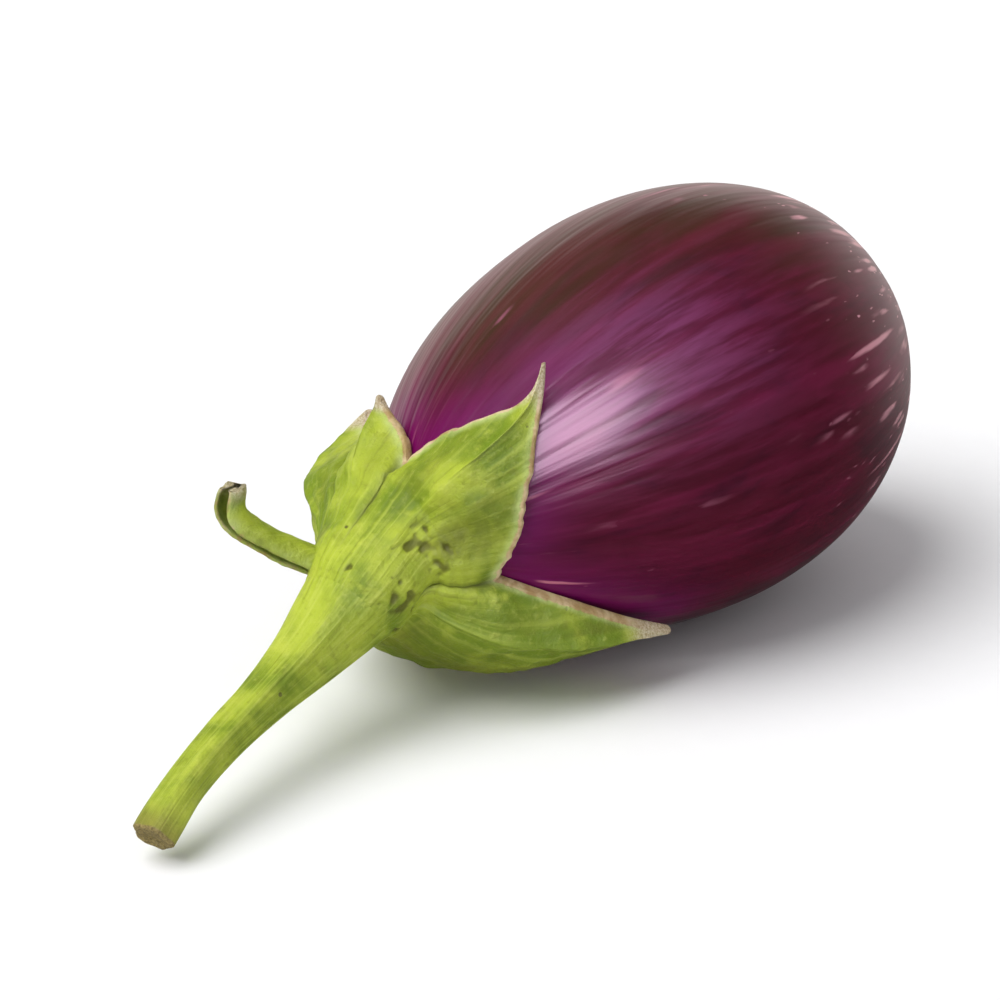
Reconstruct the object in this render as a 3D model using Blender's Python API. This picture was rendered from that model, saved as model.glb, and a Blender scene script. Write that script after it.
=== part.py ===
"""A small striped eggplant lying on its side: the fruit, the leathery calyx on it, and the cut stem."""

import math

import bmesh
import bpy
from mathutils import Vector

# Sizes in metres. The fruit is drawn about its own middle, with its axis along X and the stem end at -X.

# Fruit: an egg that is fuller towards the blossom end
FRUIT_HALF_LENGTH = 0.0375
FRUIT_RADIUS = 0.0254
EGG_TAPER = 0.125
UNEVEN_OVAL = 0.010
UNEVEN_THREE = 0.006
FRUIT_SIDES = 64
FRUIT_RINGS = 30
RING_CROWDING = 1.25
BLOSSOM_DIMPLE_DEPTH = 0.0011
BLOSSOM_DIMPLE_RADIUS = 0.0062
SCAR_RADIUS = 0.0030
SCAR_RISE = 0.0004

# How it lies: the stem end a little lower, on a small flat spot
PITCH = math.radians(5.5)
MIDDLE_HEIGHT = 0.02465
MIDDLE_FORWARD = -0.00175
FLAT_SPOT_BLOCK = 0.060

# Calyx: five lobes, each given by the side it points to and how far round the egg its tip reaches.
# It is fuller on the side that faces down, where a fleshy chin hangs under the neck
GAP = 0.0003
LOBE_SIDES = tuple(math.radians(side) for side in (122, 52, -36, -134, -188))
LOBE_REACHES = tuple(math.radians(reach) for reach in (35, 54, 67, 52, 50))
LOBE_CURLS = (0.0026, 0.0020, 0.0016, 0.0020, 0.0018)
LOBE_BENDS = tuple(math.radians(bend) for bend in (0, 12, -3, 6, -5))
NOTCH_SIDES = tuple(math.radians(side) for side in (150, 96, -18, -106, -160))
NOTCH_REACHES = tuple(math.radians(reach) for reach in (24, 20, 27, 33, 28))
COLUMNS_A_LOBE = 18
TIP_CROWDING = 1.6
NEAR_FLANK_FULLNESS = (1.6, 0.9, 1.1, 1.5, 1.4)
FAR_FLANK_FULLNESS = (1.5, 0.62, 1.5, 1.3, 1.6)
FLANK_FLARES = (0, 0, 0.0010, 0, 0)
DRY_TIP_SHARE = 0.18
DRY_TIP_WIDTH = 0.07
CALYX_BASE_THICKNESS = 0.0060
CALYX_BASE_SWELL = 0.0025
CALYX_THIN_SIDE = math.radians(50)
CALYX_FAT_SIDE_FULLNESS = 1.8
CHIN_SWELL = 0.0016
CHIN_SIDE = math.radians(-100)
CHIN_WIDTH = math.radians(38)
CALYX_EDGE_THICKNESS = 0.0011
SHOULDER_REACH = math.radians(17)
MIDRIB_HEIGHT = 0.00045
MIDRIB_WIDTH = 0.11
FURROW_DEPTH = 0.0006
FURROW_WIDTH = 0.20
EDGE_ROUNDING = 0.0004
FLARE_RINGS = 6
LOBE_RINGS = 7
INNER_RINGS = 5

# Neck: where the calyx narrows into the stem
NECK_FROM_POLE = Vector((-0.0105, -0.0012, -0.0041))
NECK_DIRECTION = Vector((-0.88, -0.10, -0.42)).normalized()
NECK_RADIUS = 0.0058
FLARE_SPREAD = 0.9
FLARE_PULL = 0.0080

# Stem: a tapered stalk that droops a little, cut square at its end
STEM_REACH = Vector((-0.0380, -0.0094, -0.0088))
STEM_END_DIRECTION = Vector((-0.84, -0.26, -0.44)).normalized()
STEM_PULL = 0.026
STEM_END_RADIUS = 0.00235
STEM_WAIST_RADIUS = 0.0022
STEM_TAPER_LENGTH = 0.38
STEM_RIDGE = 0.06
STEM_SIDES = 25
STEM_RINGS = 16

# Rolled sepal: one narrow sixth sepal, rolled into a channel and curled away from the fruit
ROLLED_ROOT = Vector((0.0050, 0.0030, 0.0020))
ROLLED_BASE = Vector((-0.0010, 0.0055, 0.0043))
ROLLED_BEND = Vector((-0.0079, 0.0090, 0.0110))
ROLLED_TIP = Vector((-0.0075, 0.0096, 0.0151))
ROLLED_FACING = Vector((-0.71, 0.05, -0.39))
ROLLED_RADIUS = 0.0019
ROLLED_CHANNEL = 0.42
ROLLED_SIDES = 12
ROLLED_RINGS = 14


def smooth_step(value):
    """Rises from 0 to 1 without a corner at either end."""
    value = min(max(value, 0.0), 1.0)
    return value * value * (3 - 2 * value)


def side_direction(side):
    """The direction away from the fruit's axis at this side, 0 facing -Y and 90 degrees facing up."""
    return Vector((0, -math.cos(side), math.sin(side)))


def skin_point(polar, side, lift=0.0):
    """A point on the skin, at an angle from the stem end and a side, lifted off it by a distance."""
    taper = 1 - EGG_TAPER * math.cos(polar)
    along = -FRUIT_HALF_LENGTH * math.cos(polar)
    radius = FRUIT_RADIUS * math.sin(polar) * taper
    slope_along = FRUIT_HALF_LENGTH * math.sin(polar)
    slope_out = FRUIT_RADIUS * (math.cos(polar) * taper + EGG_TAPER * math.sin(polar) ** 2)
    length = math.hypot(slope_along, slope_out)
    oval = UNEVEN_OVAL * math.cos(2 * side - 0.7)
    three = UNEVEN_THREE * math.cos(3 * side + 0.4 + polar)
    radius *= 1 + (oval + three) * math.sin(polar)
    along -= lift * slope_out / length
    radius += lift * slope_along / length
    return Vector((along, 0, 0)) + side_direction(side) * radius


def sphere_mapped(name, sides, rings, place):
    """A closed mesh: a UV sphere whose points go where place(ring, side number) puts them."""
    mesh_builder = bmesh.new()
    bmesh.ops.create_uvsphere(mesh_builder, u_segments=sides, v_segments=rings, radius=1)
    for vertex in mesh_builder.verts:
        ring = round(math.acos(min(max(vertex.co.z, -1), 1)) / math.pi * rings)
        turn = math.atan2(vertex.co.y, vertex.co.x) / (2 * math.pi)
        vertex.co = place(ring, round(turn * sides) % sides)
    bmesh.ops.recalc_face_normals(mesh_builder, faces=mesh_builder.faces)
    if mesh_builder.calc_volume(signed=True) < 0:
        bmesh.ops.reverse_faces(mesh_builder, faces=mesh_builder.faces)
    for face in mesh_builder.faces:
        face.smooth = True
    mesh = bpy.data.meshes.new(name)
    mesh_builder.to_mesh(mesh)
    mesh_builder.free()
    return bpy.data.objects.new(name, mesh)


def apply_boolean(target, tool, operation):
    """Joins the tool to the target or cuts it away, and keeps the result as the target's mesh."""
    modifier = target.modifiers.new("boolean", "BOOLEAN")
    modifier.operation = operation
    modifier.solver = "EXACT"
    modifier.object = tool
    bpy.context.view_layer.update()
    graph = bpy.context.evaluated_depsgraph_get()
    mesh = bpy.data.meshes.new_from_object(target.evaluated_get(graph))
    target.modifiers.clear()
    target.data = mesh


def make_resting_frame(pieces):
    """The empty that the eggplant hangs on: the fruit's own frame, tilted and raised to where it lies."""
    frame = bpy.data.objects.new("fruit_frame", None)
    frame.location = (MIDDLE_FORWARD, 0, MIDDLE_HEIGHT)
    frame.rotation_euler = (0, -PITCH, 0)
    pieces.objects.link(frame)
    return frame


def make_material(name, colour, roughness):
    """A plain material for one node."""
    material = bpy.data.materials.new(name)
    material.use_nodes = True
    shader = material.node_tree.nodes["Principled BSDF"]
    shader.inputs["Base Color"].default_value = (*colour, 1)
    shader.inputs["Roughness"].default_value = roughness
    shader.inputs["Metallic"].default_value = 0
    return material


def make_fruit(cutters):
    """The egg-shaped berry, with a shallow dimple and a raised corky scar at the blossom end."""

    def place(ring, side_number):
        crowded = (1 - ring / FRUIT_RINGS) ** RING_CROWDING
        polar = math.pi * (1 - crowded)
        side = 2 * math.pi * side_number / FRUIT_SIDES
        point = skin_point(polar, side)
        out = math.hypot(point.y, point.z)
        if polar > math.pi / 2:
            point.x -= BLOSSOM_DIMPLE_DEPTH * math.exp(-((out / BLOSSOM_DIMPLE_RADIUS) ** 2))
            point.x += SCAR_RISE * smooth_step((SCAR_RADIUS * 1.3 - out) / (SCAR_RADIUS * 0.6))
        return point

    fruit = sphere_mapped("fruit", FRUIT_SIDES, FRUIT_RINGS, place)
    return fruit, make_flat_spot_cutter(cutters)


def make_flat_spot_cutter(cutters):
    """A block under the floor level, which flattens the spot that the eggplant rests on."""
    mesh_builder = bmesh.new()
    bmesh.ops.create_cube(mesh_builder, size=FLAT_SPOT_BLOCK)
    bmesh.ops.translate(mesh_builder, verts=mesh_builder.verts, vec=(0, 0, -FLAT_SPOT_BLOCK / 2))
    mesh = bpy.data.meshes.new("flat_spot_cutter")
    mesh_builder.to_mesh(mesh)
    mesh_builder.free()
    cutter = bpy.data.objects.new("flat_spot_cutter", mesh)
    cutter.hide_render = True
    cutter.display_type = "WIRE"
    cutters.objects.link(cutter)
    return cutter


def lobe_column(column):
    """Which lobe a column runs along, and how far across it is: -1 and 1 at the notches, 0 at the tip."""
    lobe = column // COLUMNS_A_LOBE
    even = 2 * (column % COLUMNS_A_LOBE) / COLUMNS_A_LOBE - 1
    return lobe, math.copysign(abs(even) ** TIP_CROWDING, even)


def notch_beside(lobe, across):
    """The side and reach of the notch on this flank of the lobe."""
    number = lobe if across < 0 else (lobe + 1) % len(LOBE_SIDES)
    side = NOTCH_SIDES[number]
    if lobe == len(LOBE_SIDES) - 1 and across >= 0:
        side -= 2 * math.pi
    return side, NOTCH_REACHES[number]


def lobe_outline(lobe, across):
    """How far the lobe's edge reaches, from 0 at the notch to 1 at the tip: a blade and a thin dry tip."""
    away = abs(across)
    fullness = NEAR_FLANK_FULLNESS[lobe] if across < 0 else FAR_FLANK_FULLNESS[lobe]
    blade = (1 - DRY_TIP_SHARE) * (1 - away**fullness)
    return blade + DRY_TIP_SHARE * math.exp(-away / DRY_TIP_WIDTH) * (1 - away)


def side_apart(side, other):
    """The angle between two sides, at most half a turn."""
    return abs(math.atan2(math.sin(side - other), math.cos(side - other)))


def neck_point(side, radius):
    """A point round the neck, where the side is measured as it is on the fruit."""
    across = side_direction(0)
    across = (across - NECK_DIRECTION * across.dot(NECK_DIRECTION)).normalized()
    upward = NECK_DIRECTION.cross(across)
    if upward.z < 0:
        upward.negate()
    pole = Vector((-FRUIT_HALF_LENGTH, 0, 0))
    return pole + NECK_FROM_POLE + (across * math.cos(side) + upward * math.sin(side)) * radius


def make_calyx(cutters):
    """The green cap: a flared neck, five pointed lobes that hug the fruit, and one narrow rolled sepal."""
    columns = COLUMNS_A_LOBE * len(LOBE_SIDES)
    last_flare = 1 + FLARE_RINGS
    last_lobe = last_flare + LOBE_RINGS
    rings = last_lobe + 2 + INNER_RINGS + 1

    def lobe_lift(lobe, across, polar):
        """How far the lobe stands off the fruit at this reach, most at its curled tip and flared flank."""
        share = max(polar - SHOULDER_REACH, 0) / (LOBE_REACHES[lobe] - SHOULDER_REACH)
        curl = LOBE_CURLS[lobe] * share**3 * (1 - across**2)
        far_flank = max(across, 0) ** 2
        flare = FLANK_FLARES[lobe] * 4 * far_flank * (1 - far_flank)
        return curl + flare * min(share * 2, 1) ** 2

    def bent_side(lobe, side, polar):
        """The thin tip swings to one side."""
        share = max(polar - SHOULDER_REACH, 0) / (LOBE_REACHES[lobe] - SHOULDER_REACH)
        return side + LOBE_BENDS[lobe] * share**5

    def outer_lift(side, across, share):
        """Height of the outer face over the skin: thick at the shoulder, thin at the edge, with a midrib."""
        thickness = CALYX_EDGE_THICKNESS
        base = CALYX_BASE_THICKNESS - CALYX_BASE_SWELL * math.cos(side - CALYX_THIN_SIDE)
        base += CHIN_SWELL * math.exp(-((side_apart(side, CHIN_SIDE) / CHIN_WIDTH) ** 2))
        fat_side = (1 - math.cos(side - CALYX_THIN_SIDE)) / 2
        thickness += (base - CALYX_EDGE_THICKNESS) * (1 - share ** (1 + CALYX_FAT_SIDE_FULLNESS * fat_side))
        thickness += MIDRIB_HEIGHT * math.exp(-((across / MIDRIB_WIDTH) ** 2)) * (1 - share)
        thickness -= FURROW_DEPTH * math.exp(-(((1 - abs(across)) / FURROW_WIDTH) ** 2)) * (1 - share)
        return GAP + thickness

    def place(ring, column):
        lobe, across = lobe_column(column)
        notch_side, notch_reach = notch_beside(lobe, across)
        side = LOBE_SIDES[lobe] + abs(across) * (notch_side - LOBE_SIDES[lobe])
        edge = notch_reach + (LOBE_REACHES[lobe] - notch_reach) * lobe_outline(lobe, across)
        if ring == 0:
            return neck_point(0, 0)
        if ring <= last_flare:
            return flare_point(across, side, (ring - 1) / FLARE_RINGS)
        if ring <= last_lobe:
            share = (ring - last_flare) / LOBE_RINGS
            polar = SHOULDER_REACH + (edge - SHOULDER_REACH) * share
            lift = outer_lift(side, across, share) + lobe_lift(lobe, across, polar)
        elif ring == last_lobe + 1:
            polar = edge + EDGE_ROUNDING / FRUIT_HALF_LENGTH
            lift = GAP + CALYX_EDGE_THICKNESS / 2 + lobe_lift(lobe, across, edge)
        else:
            share = (rings - ring) / (INNER_RINGS + 1)
            polar = edge * share
            lift = GAP + lobe_lift(lobe, across, polar)
        return skin_point(polar, bent_side(lobe, side, polar), lift)

    def flare_point(across, side, share):
        """The outer face between the neck and the shoulder, a smooth flare."""
        start = neck_point(side, NECK_RADIUS)
        end = skin_point(SHOULDER_REACH, side, outer_lift(side, across, 0))
        beyond = skin_point(SHOULDER_REACH + 0.01, side, outer_lift(side, across, 0))
        outward = (start - neck_point(0, 0)).normalized()
        start_pull = (outward * FLARE_SPREAD - NECK_DIRECTION).normalized() * FLARE_PULL
        end_pull = (beyond - end).normalized() * FLARE_PULL
        left = 1 - share
        point = start * (left**2 * (1 + 2 * share)) + end * (share**2 * (3 - 2 * share))
        return point + start_pull * (share * left**2) - end_pull * (share**2 * left)

    calyx = sphere_mapped("calyx", columns, rings, place)
    return calyx, make_rolled_sepal(cutters)


def path_point(points, share):
    """A point on a smooth curve through evenly spaced points, and its direction."""
    last = len(points) - 1
    place = min(max(share, 0.0), 1.0) * last
    start = min(int(place), last - 1)
    part = place - start
    before = points[max(start - 1, 0)]
    first = points[start]
    second = points[start + 1]
    after = points[min(start + 2, last)]
    pull_first = (second - before) / 2
    pull_second = (after - first) / 2
    left = 1 - part
    point = first * (left**2 * (1 + 2 * part)) + second * (part**2 * (3 - 2 * part))
    point = point + pull_first * (part * left**2) - pull_second * (part**2 * left)
    direction = (second - first) * (6 * part * left)
    direction = direction + pull_first * (left * (1 - 3 * part)) + pull_second * (part * (3 * part - 2))
    return point, direction.normalized()


def make_rolled_sepal(cutters):
    """The narrow sepal that is rolled into a channel, drawn as a solid to be joined to the calyx."""
    neck = neck_point(0, 0)
    route = [neck + point for point in (ROLLED_ROOT, ROLLED_BASE, ROLLED_BEND, ROLLED_TIP)]

    def place(ring, side_number):
        share = (min(max(ring, 1), ROLLED_RINGS - 1) - 1) / (ROLLED_RINGS - 2)
        centre, direction = path_point(route, share)
        if ring in (0, ROLLED_RINGS):
            return centre
        across = direction.cross(ROLLED_FACING).normalized()
        outward = across.cross(direction)
        turn = 2 * math.pi * side_number / ROLLED_SIDES
        off_channel = math.atan2(math.sin(turn), math.cos(turn))
        radius = ROLLED_RADIUS * (1 - ROLLED_CHANNEL * math.exp(-((off_channel / 0.6) ** 2)))
        radius *= 1.15 - 0.3 * share
        return centre + (outward * math.cos(turn) + across * math.sin(turn)) * radius

    rolled = sphere_mapped("rolled_sepal", ROLLED_SIDES, ROLLED_RINGS, place)
    rolled.hide_render = True
    rolled.display_type = "WIRE"
    cutters.objects.link(rolled)
    return rolled


def make_stem():
    """The stalk: thick where it meets the calyx, with five low ridges that run on into the lobes."""
    root = neck_point(0, 0) + NECK_DIRECTION * GAP
    end = neck_point(0, 0) + STEM_REACH

    def centre_line(share):
        left = 1 - share
        near = root + NECK_DIRECTION * STEM_PULL * 0.5
        far = end - STEM_END_DIRECTION * STEM_PULL * 0.5
        point = root * left**3 + near * (3 * share * left**2) + far * (3 * share**2 * left) + end * share**3
        run = (near - root) * left**2 + (far - near) * (2 * share * left) + (end - far) * share**2
        return point, run.normalized()

    def place(ring, side_number):
        share = (min(max(ring, 1), STEM_RINGS - 1) - 1) / (STEM_RINGS - 2)
        centre, direction = centre_line(share)
        if ring in (0, STEM_RINGS):
            return centre
        across = side_direction(0)
        across = (across - direction * across.dot(direction)).normalized()
        upward = direction.cross(across)
        if upward.z < 0:
            upward.negate()
        turn = 2 * math.pi * side_number / STEM_SIDES
        shrink = math.exp(-share / STEM_TAPER_LENGTH * (1 + share))
        radius = STEM_WAIST_RADIUS + (NECK_RADIUS - STEM_WAIST_RADIUS) * shrink
        radius += (STEM_END_RADIUS - STEM_WAIST_RADIUS) * smooth_step((share - 0.8) / 0.2)
        ridge = STEM_RIDGE * smooth_step(share / 0.15)
        radius *= 1 + ridge * math.cos(len(LOBE_SIDES) * (turn - LOBE_SIDES[1]))
        return centre + (across * math.cos(turn) + upward * math.sin(turn)) * radius

    return sphere_mapped("stem", STEM_SIDES, STEM_RINGS, place)


for old in list(bpy.data.objects):
    bpy.data.objects.remove(old)
eggplant_pieces = bpy.data.collections.new("eggplant")
cutter_pieces = bpy.data.collections.new("cutters")
bpy.context.scene.collection.children.link(eggplant_pieces)
bpy.context.scene.collection.children.link(cutter_pieces)
cutter_pieces.hide_render = True

fruit_body, flat_spot_cutter = make_fruit(cutter_pieces)
calyx_body, rolled_sepal = make_calyx(cutter_pieces)
stem_body = make_stem()
fruit_frame = make_resting_frame(eggplant_pieces)
for body in (fruit_body, calyx_body, stem_body):
    eggplant_pieces.objects.link(body)
    body.parent = fruit_frame
rolled_sepal.parent = fruit_frame
apply_boolean(fruit_body, flat_spot_cutter, "DIFFERENCE")
apply_boolean(calyx_body, rolled_sepal, "UNION")

fruit_body.data.materials.append(make_material("purple_skin", (0.060, 0.004, 0.022), 0.25))
calyx_body.data.materials.append(make_material("green_calyx", (0.360, 0.450, 0.070), 0.60))
stem_body.data.materials.append(make_material("green_stem", (0.400, 0.480, 0.080), 0.55))
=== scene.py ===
import math

import bpy
import numpy as np
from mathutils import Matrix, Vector
from mathutils.kdtree import KDTree


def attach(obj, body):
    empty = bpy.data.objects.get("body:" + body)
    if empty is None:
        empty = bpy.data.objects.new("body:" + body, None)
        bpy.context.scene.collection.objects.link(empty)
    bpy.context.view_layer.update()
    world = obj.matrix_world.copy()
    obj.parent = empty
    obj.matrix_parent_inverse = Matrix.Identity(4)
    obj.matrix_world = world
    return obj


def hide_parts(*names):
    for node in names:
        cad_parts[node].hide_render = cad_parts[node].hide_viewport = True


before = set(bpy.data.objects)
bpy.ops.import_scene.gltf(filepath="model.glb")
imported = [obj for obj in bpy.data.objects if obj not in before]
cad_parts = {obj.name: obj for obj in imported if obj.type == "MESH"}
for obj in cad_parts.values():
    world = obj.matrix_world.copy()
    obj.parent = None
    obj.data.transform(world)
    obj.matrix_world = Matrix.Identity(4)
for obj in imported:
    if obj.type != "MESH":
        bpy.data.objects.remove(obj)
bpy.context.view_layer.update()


# The fruit: an egg-shaped berry, fuller towards the blossom end, with a thin and glossy waxy skin.
# It grows in one piece. The corky scar at the blossom end, where the flower sat, is part of that skin.
# It lies on a small flat spot, with its stem end a little lower.

HALF_LENGTH = 0.0375
BELLY_RADIUS = 0.0254
EGG_TAPER = 0.125
UNEVEN_OVAL = 0.010
UNEVEN_THREE = 0.006
LYING_TILT = math.radians(5.5)
LYING_HEIGHT = 0.02465
LYING_FORWARD = -0.00175
FRUIT_SIDES = 384
FRUIT_RINGS = 250
BLOSSOM_CROWDING = 1.25
BLOSSOM_HALF = 1.6
BROAD_RIPPLE = 0.00011
FINE_RIPPLE = 0.000045
DIMPLE_DEPTH = 0.0011
DIMPLE_RADIUS = 0.0062
SCAR_RADIUS = 0.0031
SCAR_HEIGHT = 0.00045
SCAR_RIM_WIDTH = 0.0006
SCAR_GRAIN = 0.00013
SCAR_PIT_DEPTH = 0.0005
SCAR_PIT_RADIUS = 0.0010
TOP_REFLECTION_WAY = np.array([0, 0.52, 0.85])
FAR_OFF = 0.03


def ease(value):
    """Rises from 0 to 1 without a corner at either end."""
    value = np.clip(value, 0, 1)
    return value * value * (3 - 2 * value)


def peak(value, centre, width):
    """A smooth hump, 1 high at its centre and nearly gone two widths away."""
    return np.exp(-(((value - centre) / width) ** 2))


def side_way(side):
    """The direction away from the fruit's axis at this side: 0 faces -Y and a quarter turn faces up."""
    side = np.asarray(side, float)
    return np.stack([0 * side, -np.cos(side), np.sin(side)], axis=-1)


def on_skin(polar, side, lift=0.0):
    """Points on the skin, at an angle from the stem end and a side, lifted off it by a distance."""
    polar, side, lift = np.broadcast_arrays(polar, side, lift)
    taper = 1 - EGG_TAPER * np.cos(polar)
    along = -HALF_LENGTH * np.cos(polar)
    radius = BELLY_RADIUS * np.sin(polar) * taper
    slope_along = HALF_LENGTH * np.sin(polar)
    slope_out = BELLY_RADIUS * (np.cos(polar) * taper + EGG_TAPER * np.sin(polar) ** 2)
    length = np.hypot(slope_along, slope_out)
    oval = UNEVEN_OVAL * np.cos(2 * side - 0.7)
    three = UNEVEN_THREE * np.cos(3 * side + 0.4 + polar)
    radius = radius * (1 + (oval + three) * np.sin(polar))
    along = along - lift * slope_out / length
    radius = radius + lift * slope_along / length
    point = side_way(side) * radius[..., None]
    point[..., 0] = along
    return point


def laid_down(points):
    """Points of the upright drawing, moved to where the eggplant lies."""
    x, y, z = np.moveaxis(np.asarray(points, float), -1, 0)
    tilt_x = x * math.cos(LYING_TILT) - z * math.sin(LYING_TILT) + LYING_FORWARD
    tilt_z = x * math.sin(LYING_TILT) + z * math.cos(LYING_TILT) + LYING_HEIGHT
    return np.stack([tilt_x, y, tilt_z], axis=-1)


def wrapped(turn, along):
    """Places in a pattern that wraps round a thing and runs along it, with no seam where the turn closes."""
    turn, along = np.broadcast_arrays(turn, along)
    return np.stack([np.cos(turn), np.sin(turn), along], axis=-1)


def uneven(points, size, seed):
    """Smooth chance bumps of one size, from -1 to 1, the same on every run."""
    cell = np.asarray(points, float) / size + seed * 7.31
    corner = np.floor(cell).astype(np.int64)
    part = cell - corner
    part = part**3 * (part * (part * 6 - 15) + 10)
    total = np.zeros(cell.shape[:-1])
    for number in range(8):
        step = np.array([number & 1, (number >> 1) & 1, number >> 2])
        spot = corner + step
        mixed = spot[..., 0] * 374761393 + spot[..., 1] * 668265263 + spot[..., 2] * 1440662683 + seed * 97
        mixed = mixed & 0xFFFFFFFF
        mixed = ((mixed ^ (mixed >> 13)) * 1274126177) & 0xFFFFFFFF
        mixed = (mixed ^ (mixed >> 16)) & 0xFFFF
        share = np.prod(np.where(step, part, 1 - part), axis=-1)
        total += share * (mixed / 32767.5 - 1)
    return total


def grown_piece(name, rings, first, last):
    """A closed smooth piece through rings of points, with one more point at each end."""
    count, sides = rings.shape[:2]
    points = np.concatenate([rings.reshape(-1, 3), [first], [last]])
    here = np.arange(count * sides).reshape(count, sides)
    beside = np.roll(here, -1, axis=1)
    quads = np.stack([here[:-1], beside[:-1], beside[1:], here[1:]], axis=-1).reshape(-1, 4)
    start = np.stack([beside[0], here[0], np.full(sides, count * sides)], axis=-1)
    end = np.stack([here[-1], beside[-1], np.full(sides, count * sides + 1)], axis=-1)
    corners = points[quads]
    half_one = np.einsum("ij,ij->i", corners[:, 0], np.cross(corners[:, 1], corners[:, 2]))
    half_two = np.einsum("ij,ij->i", corners[:, 0], np.cross(corners[:, 2], corners[:, 3]))
    faces = quads.tolist() + start.tolist() + end.tolist()
    if half_one.sum() + half_two.sum() < 0:
        faces = [face[::-1] for face in faces]
    mesh = bpy.data.meshes.new(name)
    mesh.from_pydata(points.tolist(), [], faces)
    mesh.shade_smooth()
    piece = bpy.data.objects.new(name, mesh)
    bpy.context.scene.collection.objects.link(piece)
    return piece


def mark(piece, name, values, first, last):
    """Stores a number or a direction at each point of a grown piece, for its finish to read."""
    values = np.asarray(values, float)
    wide = values.ndim == 3
    flat = np.concatenate([values.reshape(-1, 3) if wide else values.reshape(-1), [first], [last]])
    kind = "FLOAT_VECTOR" if wide else "FLOAT"
    layer = piece.data.attributes.new(name, kind, "POINT")
    layer.data.foreach_set("vector" if wide else "value", flat.astype(np.float32).ravel())


ring = (np.arange(1, FRUIT_RINGS) / FRUIT_RINGS)[:, None]
fruit_polar = np.pi * (1 - (1 - ring) ** BLOSSOM_CROWDING) + np.zeros((1, FRUIT_SIDES))
fruit_side = 2 * np.pi * np.arange(FRUIT_SIDES)[None, :] / FRUIT_SIDES + np.zeros_like(ring)
round_way = wrapped(fruit_side, fruit_polar)
ripple = BROAD_RIPPLE * uneven(round_way * [1, 1, 0.7], 0.34, 3)
ripple += FINE_RIPPLE * uneven(round_way * [1, 1, 0.30], 0.12, 4)
ripple *= np.sin(fruit_polar)
fruit_points = on_skin(fruit_polar, fruit_side, ripple)
from_axis = np.hypot(fruit_points[..., 1], fruit_points[..., 2])
blossom_half = ease((fruit_polar - BLOSSOM_HALF) / 0.3)
star = 1 + 0.12 * np.cos(5 * fruit_side + 0.8) + 0.10 * uneven(round_way * [1, 1, 0], 0.45, 5)
in_scar = ease((SCAR_RADIUS * star * 1.16 - from_axis) / (SCAR_RADIUS * 0.18)) * blossom_half
cork = uneven(fruit_points, 0.0009, 6) + 0.7 * uneven(fruit_points, 0.0004, 7)
scar_rim = peak(from_axis / star, SCAR_RADIUS, SCAR_RIM_WIDTH) * blossom_half
scar_pit = peak(from_axis, 0, SCAR_PIT_RADIUS) * blossom_half
raised = SCAR_HEIGHT * (0.45 * in_scar + 0.55 * scar_rim)
raised = raised + SCAR_GRAIN * cork * in_scar - SCAR_PIT_DEPTH * scar_pit
raised -= DIMPLE_DEPTH * peak(from_axis, 0, DIMPLE_RADIUS) * blossom_half
fruit_points[..., 0] += raised
fruit_points = laid_down(fruit_points)
fruit_points[..., 2] = np.maximum(fruit_points[..., 2], 0)
stem_pole = laid_down([-HALF_LENGTH, 0, 0])
blossom_pole = laid_down([HALF_LENGTH - DIMPLE_DEPTH + 0.45 * SCAR_HEIGHT - SCAR_PIT_DEPTH, 0, 0])
fruit = grown_piece("fruit_skin", fruit_points, stem_pole, blossom_pole)


def patch(side, side_width, polar, polar_width):
    """A soft patch on the skin: its side and its angle from the stem end, with their widths, in degrees."""
    near_side = peak(fruit_side, np.radians(side), np.radians(side_width))
    return near_side * peak(fruit_polar, np.radians(polar), np.radians(polar_width))


# The top side, and an upper patch towards the blossom end, tinted olive-brown: a painted reflection of the
# warm overhead light.
painted_top_reflection = ease((side_way(fruit_side) @ TOP_REFLECTION_WAY - 0.30) / 0.65) * ease((fruit_polar - 0.3) / 0.8)
painted_top_reflection = np.maximum(painted_top_reflection, 0.9 * patch(72, 34, 118, 17))
mark(fruit, "grown", round_way, (1, 0, 0), (1, 0, np.pi))
mark(fruit, "painted_top_reflection", painted_top_reflection, 0, 0)
# A lilac streaky patch on the one side where the softbox gloss falls: a painted highlight.
mark(fruit, "painted_highlight_patch", patch(47, 24, 68, 25), 0, 0)
mark(fruit, "from_notch", patch(345, 16, 45, 14), 0, 0)
mark(fruit, "from_blossom", np.where(fruit_polar > BLOSSOM_HALF, from_axis, FAR_OFF), FAR_OFF, 0)
mark(fruit, "in_scar", in_scar, 0, 1)
mark(fruit, "cork", cork * in_scar, 0, 0)


def put(tree, kind, values, **settings):
    """Adds a node to a finish, with its sockets set or joined up, and gives the node back."""
    made = tree.nodes.new(kind)
    for name, value in settings.items():
        setattr(made, name, value)
    for place, value in values.items():
        if isinstance(value, bpy.types.NodeSocket):
            tree.links.new(value, made.inputs[place])
        else:
            made.inputs[place].default_value = value
    return made


def stored(tree, name, kind="Fac"):
    """What mark stored on the mesh: a number, or a direction where kind is Vector."""
    return put(tree, "ShaderNodeAttribute", {}, attribute_name=name).outputs[kind]


def maths(tree, operation, *values):
    """One sum, worked out for every spot of a finish."""
    return put(tree, "ShaderNodeMath", dict(enumerate(values)), operation=operation).outputs[0]


def times(tree, one, other):
    return maths(tree, "MULTIPLY", one, other)


def plus(tree, one, other):
    return maths(tree, "ADD", one, other)


def moved(tree, operation, way, by):
    """A direction worked on by another, part by part."""
    return put(tree, "ShaderNodeVectorMath", {0: way, 1: by}, operation=operation).outputs[0]


def spread(tree, value, low, high, low_to=0.0, high_to=1.0):
    """Turns the range from low to high into another, easing at both ends."""
    values = {0: value, 1: low, 2: high, 3: low_to, 4: high_to}
    return put(tree, "ShaderNodeMapRange", values, interpolation_type="SMOOTHSTEP").outputs[0]


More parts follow.
